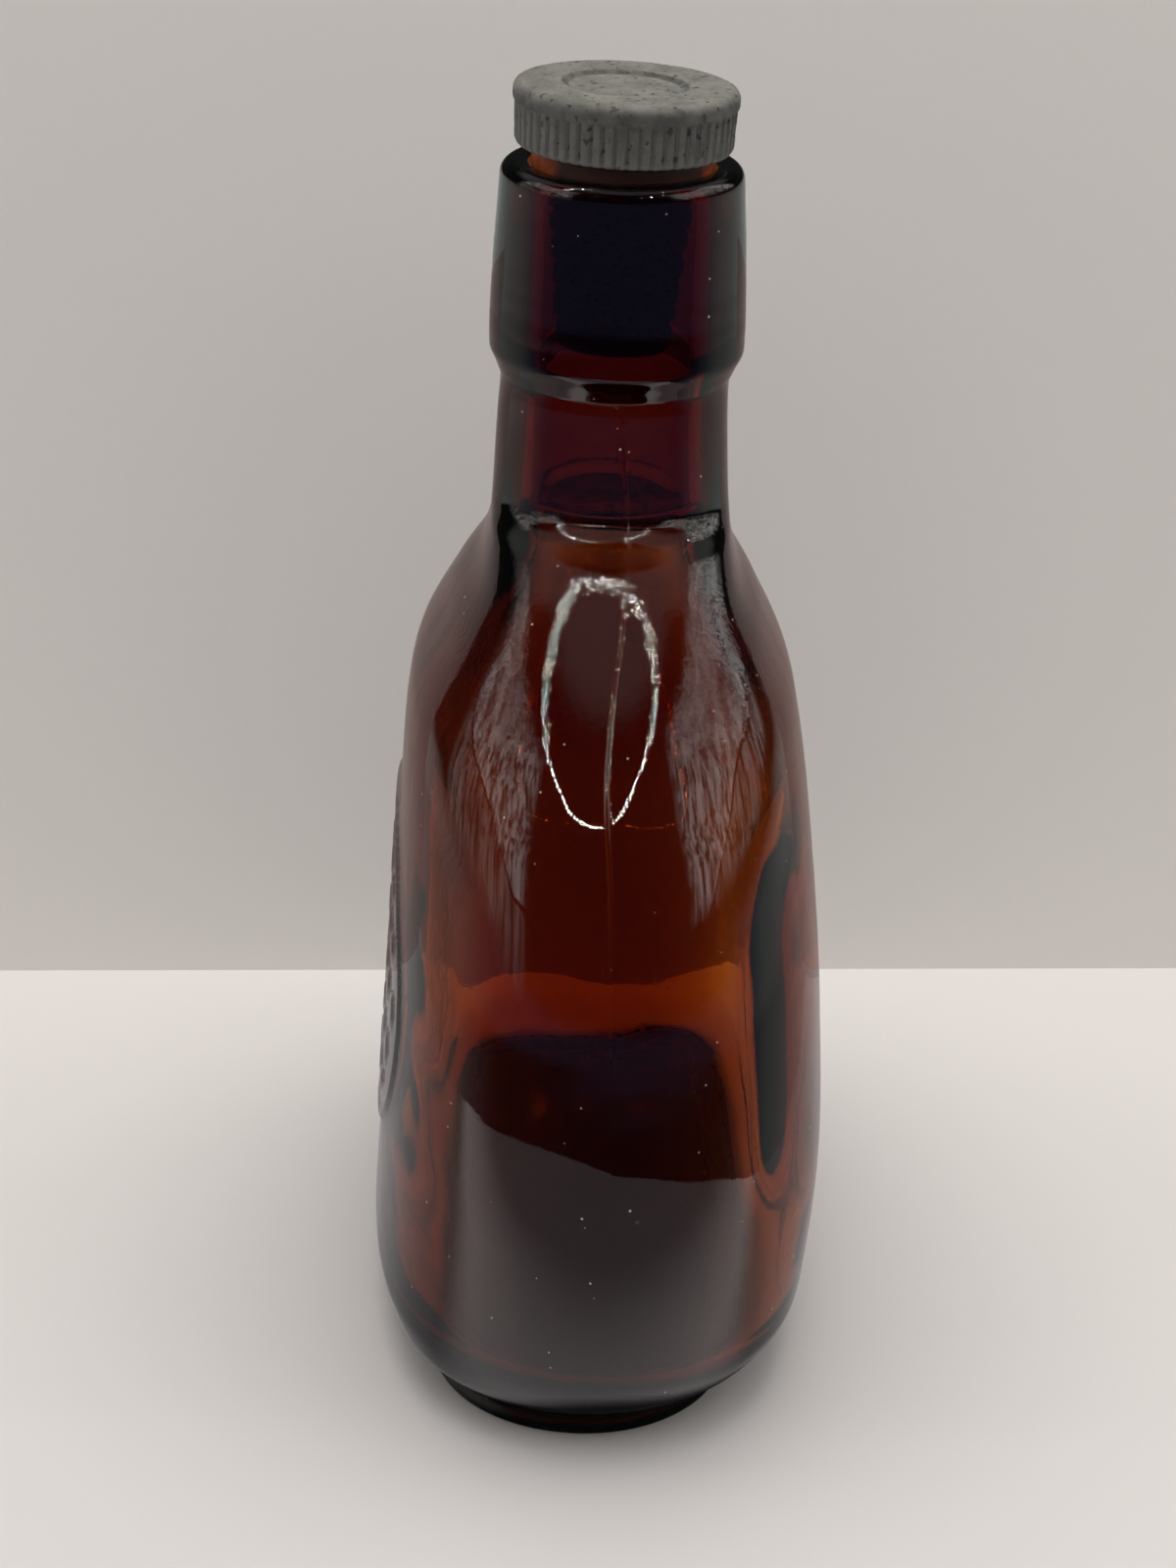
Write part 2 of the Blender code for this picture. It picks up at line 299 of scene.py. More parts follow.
def seam_relief(angle, height, end_radius):
    """The mould seam, which is worn away lower down."""
    from_seam = abs(math.sin(angle)) * end_radius
    low, high = SEAM_FADE
    left = 0.15 + 0.85 * smooth_step((height - low) / (high - low))
    return SEAM_HEIGHT * left * smooth_step(1.0 - from_seam / SEAM_HALF_WIDTH)


def motif(along, height):
    """A plain border and rows of small lozenges raised on the panel, from 0 to 1."""
    z = height - PANEL_MIDDLE
    from_middle = math.hypot(along / PANEL_HALF_LENGTH, z / PANEL_HALF_HEIGHT)
    if from_middle > MOTIF_SHARE:
        return smooth_step(2.2 - abs(from_middle - BORDER_SHARE) / BORDER_WIDTH_SHARE)
    row = round(z / MOTIF_PITCH_Z)
    shift = 0.5 * MOTIF_PITCH_X * (row % 2)
    dx = (along + shift + 0.5 * MOTIF_PITCH_X) % MOTIF_PITCH_X - 0.5 * MOTIF_PITCH_X
    dz = z - row * MOTIF_PITCH_Z
    return smooth_step(2.4 * (1.0 - abs(dx) / MOTIF_HALF_LENGTH - abs(dz) / MOTIF_HALF_HEIGHT))


def panel_relief(angle, along, height):
    """The low oval panel with its motif, on the front face alone."""
    if math.sin(angle) > -0.5:
        return 0.0
    from_middle = math.hypot(
        along / PANEL_HALF_LENGTH, (height - PANEL_MIDDLE) / PANEL_HALF_HEIGHT
    )
    plateau = PANEL_HEIGHT * smooth_step(4.0 * (1.0 - from_middle))
    return plateau + MOTIF_HEIGHT * motif(along, height) * (plateau > 0.0)


def wobble(x, y, z, wavelength, seed):
    """Smooth unevenness between about -1 and 1."""
    return noise.noise(Vector((x / wavelength, y / wavelength, z / wavelength + seed)))


def wall_share(angle, height):
    """How the wall varies round the flask: thick at the narrow ends, thin on the broad faces."""
    body = 0.62 + 0.6 * abs(math.cos(angle)) ** 6 - 0.1 * math.sin(angle)
    beside = (angle - THICK_ANGLE) / THICK_HALF_ANGLE
    low, high = THICK_HEIGHTS
    upright = smooth_step((height - low) / 20.0) * smooth_step((high - height) / 20.0)
    body += THICK_SHARE * upright * math.exp(-beside * beside)
    shoulder = 1.0 + 0.4 * math.cos(angle) ** 2 * smooth_step((119.0 - height) / 6.0)
    in_body = smooth_step((104.0 - height) / 18.0)
    return shoulder + (body - shoulder) * in_body


def outside_ring(height, angles, inset=0.0):
    """A level of the outside, with its unevenness, the seams and the panel."""
    length, thickness, end_radius, middle = level_sizes(height)
    sizes = (length, thickness, end_radius - inset, middle)
    ring = []
    for angle in angles:
        turned = angle + seam_offset(angle, height, end_radius)
        x, y = level_point(sizes, turned)
        raised = 0.05 * wobble(x, y, height, 14.0, 3.0) + 0.02 * wobble(x, y, height, 4.0, 9.0)
        if height > 4.0:
            raised += seam_relief(angle, height, end_radius) + panel_relief(angle, x, height)
        ring.append((x + raised * math.cos(turned), y + raised * math.sin(turned), height))
    return ring


def inset_ring(level, inset, height, angles, unevenness=0.0, varied_wall=0.0):
    """Outline of a level moved inwards, placed at another height. Its ends keep a small radius."""
    length, thickness, end_radius, middle = level_sizes(level)
    kept_radius = max(end_radius - inset, 2.0)
    length -= kept_radius - (end_radius - inset)
    sizes = (length, min(thickness, length), kept_radius, middle)
    ring = []
    for angle in angles:
        x, y = level_point(sizes, angle)
        moved = unevenness * (wobble(x, y, height, 19.0, 21.0) + 0.4 * wobble(x, y, height, 7.0, 5.0))
        moved += varied_wall * (1.0 - wall_share(angle, height))
        ring.append((x + moved * math.cos(angle), y + moved * math.sin(angle), height))
    return ring


def shrunk_ring(ring, share, height, unevenness=0.0):
    """The same ring drawn in towards its middle, to close a floor."""
    middle = sum(y for _, y, _ in ring) / len(ring)
    points = []
    for x, y, _ in ring:
        x *= share
        y = (y - middle) * share + middle
        points.append((x, y, height + unevenness * wobble(x, y, 0.0, 12.0, 31.0)))
    return points


def round_ring(radius, height, angles, middle=0.0):
    return [(radius * math.cos(a), radius * math.sin(a) + middle, height) for a in angles]


def finish_ring(radius, height, angles, middle):
    """Round ring of the hand-finished mouth, uneven in long low streaks round it."""
    ring = []
    for angle in angles:
        x = radius * math.cos(angle)
        y = radius * math.sin(angle)
        streak = noise.noise(Vector((x / 16.0, y / 16.0, height / 1.7)))
        swell = noise.noise(Vector((x / 14.0, y / 14.0, height / 9.0 + 7.0)))
        reach = radius + 0.035 * streak + 0.09 * swell
        ring.append((reach * math.cos(angle), reach * math.sin(angle) + middle, height))
    return ring


def even_angles(count):
    return [2.0 * math.pi * index / count for index in range(count)]


def foot_rings(angles):
    """From the hollow under the foot to its outer edge."""
    rings = []
    inner = inset_ring(0.0, FOOT_RING_WIDTH + 7.0, FOOT_RECESS, angles)
    for share in (0.04, 0.3, 0.6, 0.85):
        rings.append(shrunk_ring(inner, share, FOOT_RECESS + 0.6 * (1.0 - share), 0.25))
    rings.append(inner)
    rings.append(inset_ring(0.0, FOOT_RING_WIDTH + 3.0, 0.9 * FOOT_RECESS, angles))
    rings.append(inset_ring(0.0, FOOT_RING_WIDTH + 1.4, 0.65 * FOOT_RECESS, angles))
    rings.append(inset_ring(0.0, FOOT_RING_WIDTH + 0.5, 0.15 * FOOT_RECESS, angles))
    rings.append(inset_ring(0.0, FOOT_RING_WIDTH, 0.0, angles))
    for turn in (0.0, 30.0, 60.0):
        inset = FOOT_ROUNDING * (1.0 - math.sin(math.radians(turn)))
        height = FOOT_ROUNDING * (1.0 - math.cos(math.radians(turn)))
        rings.append(outside_ring(height, angles, inset))
    return rings


def mouth_outline():
    """Outline (height, radius) of the finish: up its outside, over the lip, and down to the bore."""
    stretches = ((FINISH_BOTTOM, FINISH_SWELL, 16), (FINISH_SWELL, FINISH_TOP, 26))
    outline = [(height, curve_value(FINISH, height)) for height in heights_of(stretches)]
    outline += arc(LIP_RADIUS - LIP_ROUNDING, FINISH_TOP, LIP_ROUNDING, 15.0, 90.0, 8)
    rounding = SEAT_EDGE_ROUNDING
    outline += arc(SEAT_RADIUS + rounding, LIP_HEIGHT - rounding, rounding, 90.0, 180.0, 5)
    seat_height = LIP_HEIGHT - SEAT_DEPTH
    outline += [(seat_height + 0.3, SEAT_RADIUS), (seat_height, SEAT_RADIUS - 0.25)]
    rounding = BORE_EDGE_ROUNDING
    outline += arc(BORE_RADIUS + rounding, seat_height - rounding, rounding, 90.0, 180.0, 4)
    outline += [(height, BORE_RADIUS) for height in heights_of(((*BORE_HEIGHTS, 10),))]
    return outline


def bottle_rings():
    """Every level in order: under the foot, outside, lip, bore, inside and floor."""
    angles = column_angles()
    rings = foot_rings(angles)
    stretches = (
        (FOOT_ROUNDING, 2.4, 2), (2.4, 12.0, 14), (12.0, 21.0, 7), (21.0, 79.0, 76), (79.0, 88.0, 8),
        (88.0, 112.0, 26), (112.0, 122.0, 20), (122.0, 135.5, 10),
    )
    for height in heights_of(stretches):
        rings.append(outside_ring(height, angles))
    for height, radius in mouth_outline():
        rings.append(finish_ring(radius, height, angles, curve_value(MIDDLE_LINE, height)))
    stretches = ((135.0, 122.0, 8), (122.0, 110.0, 14), (110.0, 88.0, 16), (88.0, 16.0, 36))
    for height in heights_of(stretches):
        uneven = 0.3 * smooth_step((135.0 - height) / 15.0)
        wall = curve_value(WALL, height)
        rings.append(inset_ring(height, wall, height, angles, uneven, wall))
    floor_level = FLOOR_TOP + FLOOR_ROUNDING
    floor_wall = curve_value(WALL, floor_level)
    for step in range(1, 10):
        turn = math.radians(10.0 * step)
        inset = floor_wall + FLOOR_ROUNDING * (1.0 - math.cos(turn))
        height = floor_level - FLOOR_ROUNDING * math.sin(turn)
        fade = math.cos(turn)
        rings.append(inset_ring(floor_level, inset, height, angles, 0.3 * fade, floor_wall * fade))
    floor_edge = rings[-1]
    for share in (0.85, 0.65, 0.45, 0.25, 0.04):
        rings.append(shrunk_ring(floor_edge, share, FLOOR_TOP, 0.5))
    return rings


def rib_profile(turn):
    """Depth of the grooves between broad rounded ribs, 0 on a crest and 1 in a groove."""
    from_crest = abs(turn % 1.0 - 0.5) * 2.0
    return smooth_step((from_crest - 0.42) / 0.5)


def head_ring(radius, height, angles, depth=0.0, wear=0.0):
    """Ring of the stopper's head with its ribs and with wear in the old rubber."""
    ring = []
    for angle in angles:
        reach = radius - depth * rib_profile(angle * RIB_COUNT / (2.0 * math.pi))
        x = math.cos(angle)
        y = math.sin(angle)
        worn = noise.noise(Vector((x * 5.0, y * 5.0, height * 0.8)))
        worn += 0.6 * noise.noise(Vector((x * 16.0, y * 16.0, height * 2.5)))
        reach -= wear * max(worn, 0.0)
        ring.append((reach * x, reach * y, height))
    return ring


def thread_radius(height, angle):
    """Radius of the tapered screw: a helical ridge that fades out at both of its ends."""
    turn = (height / THREAD_PITCH - angle / (2.0 * math.pi)) % 1.0
    valley = smooth_step(1.0 - abs(turn - 0.5) / 0.32)
    fade = smooth_step((height - THREAD_BOTTOM) / 2.0) * smooth_step((THREAD_TOP - height) / 1.5)
    return curve_value(SHANK_TAPER, height) - THREAD_DEPTH * valley * fade


def top_ring(radius, height, angles):
    """Ring on the top of the head, with shallow pits and a soft dish."""
    ring = []
    for angle in angles:
        x = radius * math.cos(angle)
        y = radius * math.sin(angle)
        pits = noise.noise(Vector((x / 1.1, y / 1.1, 4.0)))
        dents = noise.noise(Vector((x / 3.5, y / 3.5, 8.0)))
        sunk = 0.22 * smooth_step(2.0 * (pits - 0.25)) + 0.12 * max(dents, 0.0)
        ring.append((x, y, height - sunk))
    return ring


def stopper_rings():
    """From the middle of the top, over the rim and down the ribs, to the tip of the shank."""
    top = HEAD_TOP
    angles = even_angles(8 * RIB_COUNT)
    rings = []
    for radius in (0.3, 1.0, 1.8, 2.6, 3.4, 4.2, 5.0, 5.8, 6.5, 7.1, 7.6):
        rings.append(top_ring(radius, top - RECESS_DEPTH, angles))
    rings.append(top_ring(RECESS_RADIUS - 0.3, top - 0.8 * RECESS_DEPTH, angles))
    rings.append(top_ring(RECESS_RADIUS, top - 0.25, angles))
    rings.append(top_ring(RECESS_RADIUS + 0.4, top - 0.05, angles))
    for radius in (9.2, 9.9, 10.6, 11.3, 12.0, 12.7, 13.4):
        rings.append(top_ring(radius, top, angles))
    edge = RIM_ROUNDING
    for height, radius in reversed(arc(RIM_RADIUS - edge, top - edge, edge, 0.0, 80.0, 7)):
        rings.append(head_ring(radius, height, angles, 0.0, 0.25))
    for height in (9.0, 8.6, 8.3):
        rings.append(head_ring(RIM_RADIUS, height, angles, 0.0, 0.2))
    rings.append(head_ring(RIM_RADIUS - 0.08, RIM_BOTTOM + 0.02, angles, 0.0, 0.15))
    rings.append(head_ring(RIB_RADIUS, RIM_BOTTOM - 0.15, angles, 0.3 * RIB_DEPTH, 0.1))
    for height in heights_of(((RIM_BOTTOM - 0.4, HEAD_BOTTOM + 0.9, 12),)):
        taper = 0.22 * (RIM_BOTTOM - height) / (RIM_BOTTOM - HEAD_BOTTOM)
        rings.append(head_ring(RIB_RADIUS - taper, height, angles, 1.25 * RIB_DEPTH, 0.12))
    for height, radius in arc(RIB_RADIUS - 1.1, HEAD_BOTTOM + 0.8, 0.8, -15.0, -90.0, 5):
        rings.append(head_ring(radius, height, angles, 0.6 * RIB_DEPTH, 0.1))
    angles = even_angles(2 * RIB_COUNT)
    rings.append(round_ring(SHANK_NECK_RADIUS + 0.3, HEAD_BOTTOM, angles))
    rings.append(round_ring(SHANK_NECK_RADIUS, HEAD_BOTTOM - 0.3, angles))
    rings.append(round_ring(SHANK_NECK_RADIUS, THREAD_TOP + 0.6, angles))
    for height in heights_of(((THREAD_TOP, THREAD_BOTTOM, 84),)):
        ring = []
        for angle in angles:
            reach = thread_radius(height, angle)
            ring.append((reach * math.cos(angle), reach * math.sin(angle), height))
        rings.append(ring)
    for height, radius in TIP_OUTLINE:
        rings.append(round_ring(radius, height, angles))
    return rings


def rubber_rings():
    """Round the washer's cross-section: bottom, outside, top and back down the inside."""
    rounding = RING_ROUNDING
    inner = RING_INNER_RADIUS + rounding
    outer = RING_OUTER_RADIUS - rounding
    outline = arc(inner, RING_BOTTOM + rounding, rounding, 180.0, 270.0, 4)
    outline += arc(outer, RING_BOTTOM + rounding, rounding, -90.0, 0.0, 4)
    outline += [(height, RING_OUTER_RADIUS) for height in (-0.6, -0.1, 0.4, 0.8)]
    outline += arc(outer, RING_TOP - rounding, rounding, 0.0, 90.0, 4)
    outline += arc(inner, RING_TOP - rounding, rounding, 90.0, 180.0, 4)
    angles = even_angles(160)
    rings = []
    for height, radius in outline:
        ring = []
        for angle in angles:
            x = math.cos(angle)
            y = math.sin(angle)
            worn = noise.noise(Vector((x * 7.0, y * 7.0, height * 1.3)))
            reach = radius - 0.1 * max(worn, 0.0)
            ring.append((reach * x, reach * y, height))
        rings.append(ring)
    return rings


def add_band(mesh, first, second):
    """Faces between two rings. Where the second has fewer points, each takes its share of the first."""
    share = len(first) // len(second)
    for index, corner in enumerate(second):
        next_corner = second[(index + 1) % len(second)]
        start = index * share
        middle = start + share // 2
        for step in range(start, middle):
            mesh.faces.new((first[step], first[step + 1], corner))
        mesh.faces.new((first[middle], first[(middle + 1) % len(first)], next_corner, corner))
        for step in range(middle + 1, start + share):
            mesh.faces.new((first[step], first[(step + 1) % len(first)], next_corner))


def piece_of_rings(name, rings, material, place=None, is_loop=False):
    """One closed mesh through the rings, capped at both ends unless they join up in a loop."""
    mesh = bmesh.new()
    loops = [[mesh.verts.new([size * MM for size in point]) for point in ring] for ring in rings]
    for first, second in zip(loops, loops[1:]):
        add_band(mesh, first, second)
    if is_loop:
        add_band(mesh, loops[-1], loops[0])
    else:
        mesh.faces.new(reversed(loops[0]))
        mesh.faces.new(loops[-1])
    if place is not None:
        mesh.transform(place)
    bmesh.ops.recalc_face_normals(mesh, faces=mesh.faces)
    data = bpy.data.meshes.new(name)
    mesh.to_mesh(data)
    mesh.free()
    data.shade_smooth()
    data.set_sharp_from_angle(angle=math.radians(50.0))
    data.materials.append(material)
    piece = bpy.data.objects.new(name, data)
    bpy.context.scene.collection.objects.link(piece)
    return piece


def keep_inside(piece, node):
    """Holds every point inside the box of the CAD node that the piece stands for."""
    low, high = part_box(node)
    for vertex in piece.data.vertices:
        for axis in range(3):
            vertex.co[axis] = min(max(vertex.co[axis], low[axis]), high[axis])


class NodeTree:
    """Short ways to add nodes to a material's or the world's tree."""

    def __init__(self, owner):
        owner.use_nodes = True
        self.nodes = owner.node_tree.nodes
        self.links = owner.node_tree.links

    def add(self, kind, settings=None, **inputs):
        node = self.nodes.new(kind)
        for key, value in (settings or {}).items():
            setattr(node, key, value)
        for key, value in inputs.items():
            self.set(node, key.replace("_", " "), value)
        return node

    def set(self, node, key, value):
        socket = node.inputs[int(key)] if str(key).isdigit() else node.inputs[key]
        if isinstance(value, bpy.types.NodeSocket):
            self.links.new(value, socket)
        else:
            socket.default_value = value

    def math(self, operation, first, second=0.0, third=0.0):
        node = self.add("ShaderNodeMath", {"operation": operation})
        for index, value in enumerate((first, second, third)):
            self.set(node, index, value)
        return node.outputs[0]

    def length(self, first, second):
        """Length of the diagonal over two distances at right angles."""
        squares = [self.math("MULTIPLY", value, value) for value in (first, second)]
        return self.math("SQRT", self.math("ADD", *squares))

    def ramp(self, value, low, high, to_low=0.0, to_high=1.0):
        """Smooth step of a value between two limits."""
        node = self.add("ShaderNodeMapRange", {"interpolation_type": "SMOOTHSTEP"})
        for key, setting in (
            ("Value", value), ("From Min", low), ("From Max", high),
            ("To Min", to_low), ("To Max", to_high),
        ):
            self.set(node, key, setting)
        return node.outputs["Result"]

    def band(self, value, low, high, softness):
        rise = self.ramp(value, low - softness, low + softness)
        fall = self.ramp(value, high - softness, high + softness, 1.0, 0.0)
        return self.math("MULTIPLY", rise, fall)

    def mix(self, factor, first, second):
        """Mix of two colours."""
        node = self.add("ShaderNodeMix", {"data_type": "RGBA"})
        self.set(node, 0, factor)
        self.set(node, 6, first)
        self.set(node, 7, second)
        return node.outputs[2]

    def noise(self, vector, scale, detail=2.0, roughness=0.5, distortion=0.0):
        node = self.add(
            "ShaderNodeTexNoise",
            Vector=vector, Scale=scale, Detail=detail, Roughness=roughness, Distortion=distortion,
        )
        return node.outputs["Fac"]

    def stretched(self, vector, scale):
        node = self.add("ShaderNodeMapping", Vector=vector, Scale=scale)
        return node.outputs["Vector"]

    def bump(self, height, strength, distance_mm):
        node = self.add(
            "ShaderNodeBump", Strength=strength, Distance=distance_mm * MM, Height=height
        )
        return node.outputs["Normal"]


def new_material(name):
    material = bpy.data.materials.new(name)
    tree = NodeTree(material)
    return material, tree, tree.nodes["Principled BSDF"]


def object_position(tree):
    return tree.add("ShaderNodeTexCoord").outputs["Object"]


def glass_material():
    """Deep amber glass with dust specks and fine upright scratches."""
    material, tree, shader = new_material("amber glass")
    position = object_position(tree)
    cells = tree.add("ShaderNodeTexVoronoi", Vector=position, Scale=620.0)
    picked, size, _ = tree.add("ShaderNodeSeparateColor", Color=cells.outputs["Color"]).outputs
    far = tree.math("DIVIDE", cells.outputs["Distance"], tree.math("MULTIPLY_ADD", size, 0.8, 0.25))
    near = tree.ramp(far, 0.06, 0.15, 1.0, 0.0)
    specks = tree.math("MULTIPLY", near, tree.ramp(picked, 0.8, 0.95, 0.0, 0.6))
    streaks = tree.noise(tree.stretched(position, (900.0, 900.0, 35.0)), 1.0, 3.0, 0.6)
    patches = tree.noise(position, 40.0, 3.0, 0.6)
    scratched = tree.math("MULTIPLY", tree.ramp(streaks, 0.56, 0.72), tree.ramp(patches, 0.45, 0.7))
    tree.set(shader, "Base Color", (1.0, 1.0, 1.0, 1.0))
    tree.set(shader, "Roughness", tree.math("MULTIPLY_ADD", scratched, 0.16))
    tree.set(shader, "Transmission Weight", tree.math("SUBTRACT", 1.0, specks))
    tree.set(shader, "IOR", 1.52)
    height = tree.add("ShaderNodeSeparateXYZ", Vector=position).outputs["Z"]
    ripples = tree.noise(position, 1100.0, 2.0, 0.6)
    on_shoulder = tree.band(height, 99.0 * MM, 119.0 * MM, 4.0 * MM)
    on_lip = tree.ramp(height, 161.0 * MM, 165.0 * MM, 0.0, 0.5)
    rippled = tree.math("MULTIPLY_ADD", tree.math("MAXIMUM", on_shoulder, on_lip), 0.9, 0.1)
    tree.set(shader, "Normal", tree.bump(tree.math("MULTIPLY", ripples, rippled), 1.0, 0.03))
    absorption = tree.add("ShaderNodeVolumeAbsorption")
    absorption.inputs["Color"].default_value = AMBER_COLOUR
    absorption.inputs["Density"].default_value = AMBER_DENSITY
    output = tree.nodes["Material Output"]
    tree.links.new(absorption.outputs["Volume"], output.inputs["Volume"])
    return material


def hard_rubber_material():
    """Old grey hard rubber: paler and pitted on top, with painted shade round the edge of its dish,
    darker and dusty down the ribs.
    """
    material, tree, shader = new_material("grey hard rubber")
    position = object_position(tree)
    x, y, height = tree.add("ShaderNodeSeparateXYZ", Vector=position).outputs
    on_top = tree.ramp(height, (LIP_HEIGHT + 9.0) * MM, (LIP_HEIGHT + 10.2) * MM)
    clouds = tree.noise(position, 260.0, 6.0, 0.65)
    grains = tree.noise(position, 1500.0, 4.0, 0.7)
    pits = tree.noise(position, 900.0, 2.0, 0.5)
    side = tree.mix(
        tree.ramp(clouds, 0.35, 0.65), (0.075, 0.077, 0.071, 1.0), (0.125, 0.126, 0.116, 1.0)
    )
    top = tree.mix(
        tree.ramp(clouds, 0.3, 0.7), (0.115, 0.115, 0.10, 1.0), (0.19, 0.188, 0.168, 1.0)
    )
    colour = tree.mix(on_top, side, top)
    middle = curve_value(MIDDLE_LINE, LIP_HEIGHT)
    reach = tree.length(x, tree.math("ADD", y, -middle * MM))
    valley = tree.ramp(reach, 14.75 * MM, 15.05 * MM, 1.0, 0.0)
    valley = tree.math("MULTIPLY", valley, tree.math("SUBTRACT", 1.0, on_top))
    colour = tree.mix(valley, colour, (0.17, 0.17, 0.157, 1.0))
    # Painted shade: a dark ring round the edge of the dish on top, standing in for the shade on the
    # step.
    groove = tree.band(reach, (RECESS_RADIUS - 0.5) * MM, (RECESS_RADIUS + 0.4) * MM, 0.15 * MM)
    groove = tree.math("MULTIPLY", groove, tree.ramp(clouds, 0.38, 0.6, 0.2, 0.8))
    groove = tree.math("MULTIPLY", groove, on_top)
    colour = tree.mix(groove, colour, (0.03, 0.03, 0.028, 1.0))
    dusty = tree.ramp(grains, 0.62, 0.75)
    colour = tree.mix(tree.math("MULTIPLY", dusty, 0.45), colour, (0.42, 0.41, 0.38, 1.0))
    dark = tree.ramp(pits, 0.61, 0.68)
    colour = tree.mix(tree.math("MULTIPLY", dark, 0.7), colour, (0.03, 0.03, 0.03, 1.0))
    tree.set(shader, "Base Color", colour)
    tree.set(shader, "Roughness", tree.ramp(grains, 0.3, 0.7, 0.55, 0.8))
    relief = tree.math("SUBTRACT", tree.math("MULTIPLY", grains, 0.6), dark)
    tree.set(shader, "Normal", tree.bump(relief, 0.7, 0.12))
    return material


def orange_rubber_material():
    """Old orange rubber, dull, with a little light passing through."""
    material, tree, shader = new_material("orange rubber")
    position = object_position(tree)
    clouds = tree.noise(position, 350.0, 5.0, 0.6)
    colour = tree.mix(
        tree.ramp(clouds, 0.35, 0.68), (0.36, 0.06, 0.006, 1.0), (0.62, 0.12, 0.012, 1.0)
    )
    across = tree.add("ShaderNodeSeparateXYZ", Vector=position).outputs["Y"]
    # Painted shade: the ring is darkened front and back, standing in for the shade under the stopper's
    # head as the camera sees it.
    painted_middle_shade = tree.ramp(tree.math("ABSOLUTE", across), 9.2 * MM, 10.6 * MM, 0.92, 0.0)
    colour = tree.mix(painted_middle_shade, colour, (0.03, 0.022, 0.016, 1.0))
    tree.set(shader, "Base Color", colour)
    tree.set(shader, "Roughness", 0.6)
    tree.set(shader, "Subsurface Weight", 0.25)
    tree.set(shader, "Subsurface Radius", (1.0, 0.3, 0.1))
    tree.set(shader, "Subsurface Scale", 1.0 * MM)
    tree.set(shader, "Normal", tree.bump(clouds, 0.5, 0.15))
    return material


def paper_material(name, colour):
    """Plain pale paper with a faint grain."""
    material, tree, shader = new_material(name)
    grain = tree.noise(object_position(tree), 1800.0, 4.0, 0.6)
    darker = tuple(0.965 * value for value in colour)
    tree.set(shader, "Base Color", tree.mix(grain, (*darker, 1.0), (*colour, 1.0)))
    tree.set(shader, "Roughness", 0.85)
    tree.set(shader, "Specular IOR Level", 0.2)
    return material, tree, shader


def sheet_material():
    """The paper as the glass reflects it: a sheet that glows with painted light, with a painted shadow
    at the foot and painted shade towards the camera.
    """
    material, tree, shader = new_material("reflected paper")
    x, y, _ = tree.add("ShaderNodeSeparateXYZ", Vector=object_position(tree)).outputs
    # Painted shade, deepening towards the camera.
    shadow = tree.ramp(x, 60.0 * MM, 115.0 * MM)
    colour = tree.mix(shadow, (0.62, 0.585, 0.58, 1.0), (0.13, 0.138, 0.155, 1.0))
    # Painted contact shadow: no glow inside an oval round the foot.
    along = tree.math("MULTIPLY", x, 1.0 / (FOOT_SHADE_HALF_LENGTH * MM))
    across = tree.math("MULTIPLY", y, 1.0 / (FOOT_SHADE_HALF_WIDTH * MM))
    outside_foot_shadow = tree.ramp(tree.length(along, across), 0.98, 1.12)
    # The glow is painted light standing in for the lit paper.
    glow = tree.math("MULTIPLY", outside_foot_shadow, tree.ramp(x, 45.0 * MM, 64.0 * MM, 0.42, 1.8))
    tree.set(shader, "Base Color", (0.12, 0.12, 0.12, 1.0))
    tree.set(shader, "Roughness", 0.9)
    tree.set(shader, "Emission Color", colour)
    tree.set(shader, "Emission Strength", glow)
    return material


def backdrop_material():
    """Pale paper that is only there from the front, and darker where glass mirrors it."""
    material, tree, shader = paper_material("backdrop paper", (0.74, 0.71, 0.69))
    mirrored = tree.add("ShaderNodeLightPath").outputs["Is Glossy Ray"]
    pale = shader.inputs["Base Color"].links[0].from_socket
    tree.set(shader, "Base Color", tree.mix(mirrored, pale, (0.43, 0.33, 0.31, 1.0)))
    tree.set(shader, "Emission Color", (1.0, 0.965, 0.93, 1.0))
    tree.set(shader, "Emission Strength", tree.math("MULTIPLY_ADD", mirrored, -0.04, 0.12))
    clear = tree.add("ShaderNodeBsdfTransparent")
    mixed = tree.add("ShaderNodeMixShader")
    tree.set(mixed, 0, tree.add("ShaderNodeNewGeometry").outputs["Backfacing"])
    tree.set(mixed, 1, shader.outputs["BSDF"])
    tree.set(mixed, 2, clear.outputs["BSDF"])
    tree.set(tree.nodes["Material Output"], "Surface", mixed.outputs["Shader"])
    return material


def make_plane(name, corners, material, seen_in_glass):
    """A flat sheet of the stage, seen either by the camera and the soft light or in the glass."""
    data = bpy.data.meshes.new(name)
    points = [tuple(size * MM for size in corner) for corner in corners]
    data.from_pydata(points, [], [tuple(range(len(points)))])
    data.materials.append(material)
    plane = bpy.data.objects.new(name, data)
    plane.visible_camera = not seen_in_glass
    plane.visible_diffuse = not seen_in_glass
    plane.visible_shadow = not seen_in_glass
    plane.visible_glossy = seen_in_glass
    bpy.context.scene.collection.objects.link(plane)
    return plane


def backdrop_corners(reach, height):
    left = BACKDROP_X + reach * BACKDROP_SLOPE
    right = BACKDROP_X - reach * BACKDROP_SLOPE
    return (left, -reach, 0), (right, reach, 0), (right, reach, height), (left, -reach, height)


